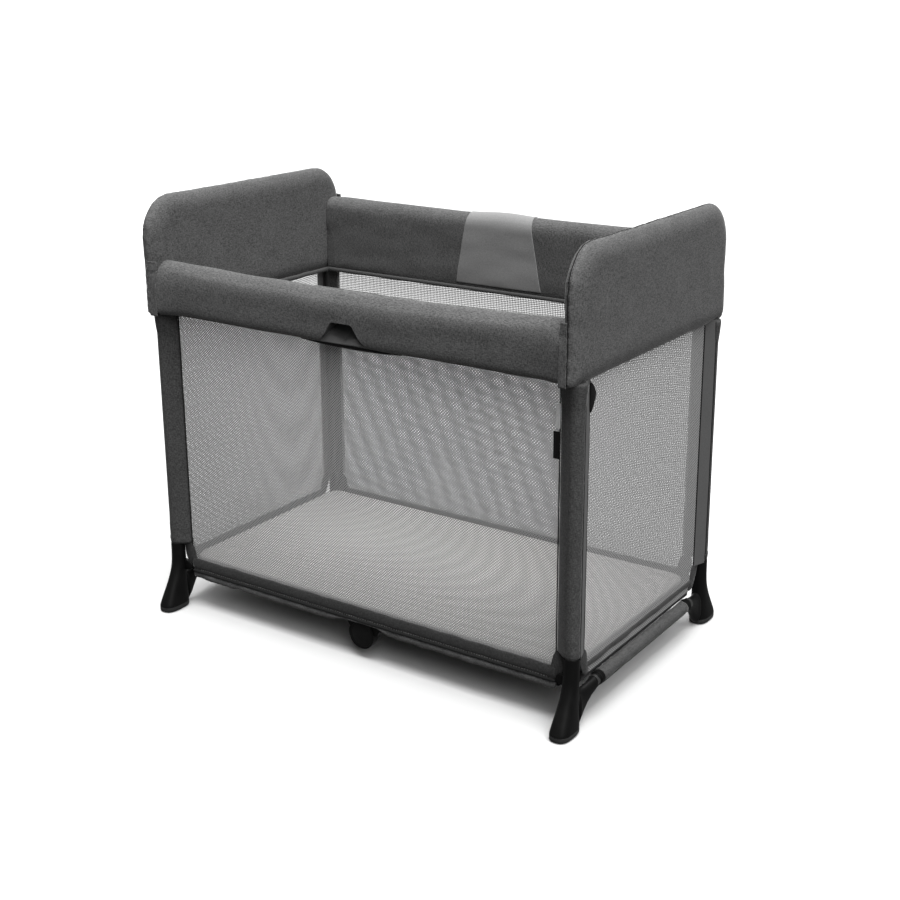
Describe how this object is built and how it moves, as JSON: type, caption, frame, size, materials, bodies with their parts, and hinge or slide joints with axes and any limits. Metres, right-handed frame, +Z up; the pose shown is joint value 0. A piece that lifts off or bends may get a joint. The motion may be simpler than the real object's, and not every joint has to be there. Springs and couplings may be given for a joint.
{
  "type": "playpen",
  "caption": "Folding travel cot with padded end panels, mesh walls, sleeved legs on splayed feet, a hinged floor and mattress, and padded top rails.",
  "frame": {"origin": "on the floor under the middle of the cot, set up for use", "axes": "+Z up, +X along the length towards the right end, -Y towards the lower front rail"},
  "size_m": [1.023, 0.655, 0.898],
  "materials": {
    "frame_tube": "satin",
    "rail_tube": "satin",
    "black_plastic": "matte",
    "hub_cap": "satin",
    "trigger_plastic": "satin",
    "rubber_sole": "matte",
    "melange_fabric": "matte",
    "mesh_fabric": "matte",
    "pin_steel": "satin",
    "floor_board": "matte",
    "mattress_fabric": "matte"
  },
  "bodies": {
    "left_end": {"leg_fl": "frame_tube", "leg_rl": "frame_tube", "foot_fl": "black_plastic", "foot_rl": "black_plastic", "soles_l": "rubber_sole", "sleeve_fl": "melange_fabric", "sleeve_rl": "melange_fabric", "hoop_l": "frame_tube", "panel_l": "melange_fabric", "endwall_l": "mesh_fabric", "endbar_l": "frame_tube", "barsleeve_l": "melange_fabric", "brackets_l": "black_plastic", "pins_l": "pin_steel", "sidewall_fl": "mesh_fabric", "sidewall_rl": "mesh_fabric"},
    "right_end": {"leg_fr": "frame_tube", "leg_rr": "frame_tube", "foot_fr": "black_plastic", "foot_rr": "black_plastic", "soles_r": "rubber_sole", "sleeve_fr": "melange_fabric", "sleeve_rr": "melange_fabric", "hoop_r": "frame_tube", "panel_r": "melange_fabric", "endwall_r": "mesh_fabric", "endbar_r": "frame_tube", "barsleeve_r": "melange_fabric", "brackets_r": "black_plastic", "pins_r": "pin_steel", "sidewall_fr": "mesh_fabric", "sidewall_rr": "mesh_fabric"},
    "base_left": {"baserails_l": "frame_tube", "baseends_l": "black_plastic", "basesleeves_l": "melange_fabric", "hub_l": "black_plastic", "board_l": "floor_board", "mattress_l": "mattress_fabric"},
    "base_right": {"baserails_r": "frame_tube", "baseends_r": "black_plastic", "basesleeves_r": "melange_fabric", "hub_r": "black_plastic", "hubpins": "hub_cap", "board_r": "floor_board", "mattress_r": "mattress_fabric"},
    "rail_front_left": {"toprail_fl": "rail_tube", "railends_fl": "black_plastic", "cover_fl": "melange_fabric"},
    "rail_rear_left": {"toprail_rl": "rail_tube", "railends_rl": "black_plastic", "cover_rl": "melange_fabric"},
    "rail_front_right": {"toprail_fr": "rail_tube", "railends_fr": "black_plastic", "cover_fr": "melange_fabric"},
    "rail_rear_right": {"toprail_rr": "rail_tube", "railends_rr": "black_plastic", "cover_rr": "melange_fabric"},
    "trigger_front": {"trigger_f": "trigger_plastic"},
    "trigger_rear": {"trigger_r": "trigger_plastic"}
  },
  "joints": [
    {"name": "floor_fold", "type": "hinge", "parent": "left_end", "child": "base_left", "pos_m": [-0.465, 0, 0.096], "axis": [0, -1, 0], "range_deg": [0, 90], "deforming": ["cover_fl", "cover_rl", "cover_fr", "cover_rr", "sidewall_fl", "sidewall_rl", "sidewall_fr", "sidewall_rr"]},
    {"name": "hub_fold", "type": "hinge", "parent": "base_left", "child": "base_right", "pos_m": [0, 0, 0.054], "axis": [0, -1, 0], "range_deg": [-180, 0]},
    {"name": "right_floor_fold", "type": "hinge", "parent": "base_right", "child": "right_end", "pos_m": [0.465, 0, 0.096], "axis": [0, -1, 0], "range_deg": [0, 90]},
    {"name": "front_left_rail_fold", "type": "hinge", "parent": "left_end", "child": "rail_front_left", "pos_m": [-0.465, 0, 0.708], "axis": [0, -1, 0], "range_deg": [-90, 0]},
    {"name": "front_right_rail_fold", "type": "hinge", "parent": "right_end", "child": "rail_front_right", "pos_m": [0.465, 0, 0.708], "axis": [0, -1, 0], "range_deg": [0, 90]},
    {"name": "rear_left_rail_fold", "type": "hinge", "parent": "left_end", "child": "rail_rear_left", "pos_m": [-0.465, 0, 0.769], "axis": [0, -1, 0], "range_deg": [-90, 0]},
    {"name": "rear_right_rail_fold", "type": "hinge", "parent": "right_end", "child": "rail_rear_right", "pos_m": [0.465, 0, 0.769], "axis": [0, -1, 0], "range_deg": [0, 90]},
    {"name": "front_trigger_squeeze", "type": "slide", "parent": "rail_front_left", "child": "trigger_front", "axis": [0, 0, 1], "range_m": [0, 0.006], "stiffness_N_per_m": 400, "springref_m": -0.002},
    {"name": "rear_trigger_squeeze", "type": "slide", "parent": "rail_rear_left", "child": "trigger_rear", "axis": [0, 0, 1], "range_m": [0, 0.006], "stiffness_N_per_m": 400, "springref_m": -0.002}
  ],
  "couplings": [
    {"joint": "hub_fold", "follows": "floor_fold", "ratio": -2},
    {"joint": "right_floor_fold", "follows": "floor_fold", "ratio": 1},
    {"joint": "front_left_rail_fold", "follows": "floor_fold", "ratio": -1},
    {"joint": "front_right_rail_fold", "follows": "floor_fold", "ratio": 1},
    {"joint": "rear_left_rail_fold", "follows": "floor_fold", "ratio": -1},
    {"joint": "rear_right_rail_fold", "follows": "floor_fold", "ratio": 1}
  ]
}
